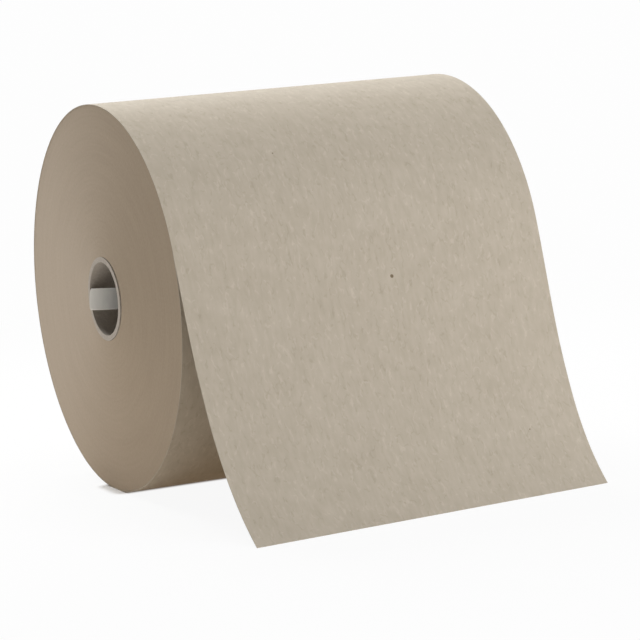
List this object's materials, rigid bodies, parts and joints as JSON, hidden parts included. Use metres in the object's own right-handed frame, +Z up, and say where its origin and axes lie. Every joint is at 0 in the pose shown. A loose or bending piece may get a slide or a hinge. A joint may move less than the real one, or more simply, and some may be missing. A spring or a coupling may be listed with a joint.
{
  "type": "paper towel roll",
  "caption": "Hardwound brown paper towel roll on its side, the free sheet drawn down in front, with a board core and a plastic bar across the mouth of the core.",
  "frame": {"origin": "on the floor, in the middle of the flat spot that the roll rests on, under the roll's axis at mid-width", "axes": "+X along the roll's axis towards its plain end, away from the bar in the core; -Y towards the front, where the free sheet comes down; +Z up"},
  "size_m": [0.2, 0.2705, 0.1976],
  "materials": {
    "towel_paper": "matte",
    "core_board": "matte",
    "bridge_plastic": "satin"
  },
  "bodies": {
    "root": {"towel_roll": "towel_paper", "core_tube": "core_board", "core_bridge": "bridge_plastic"}
  },
  "joints": []
}
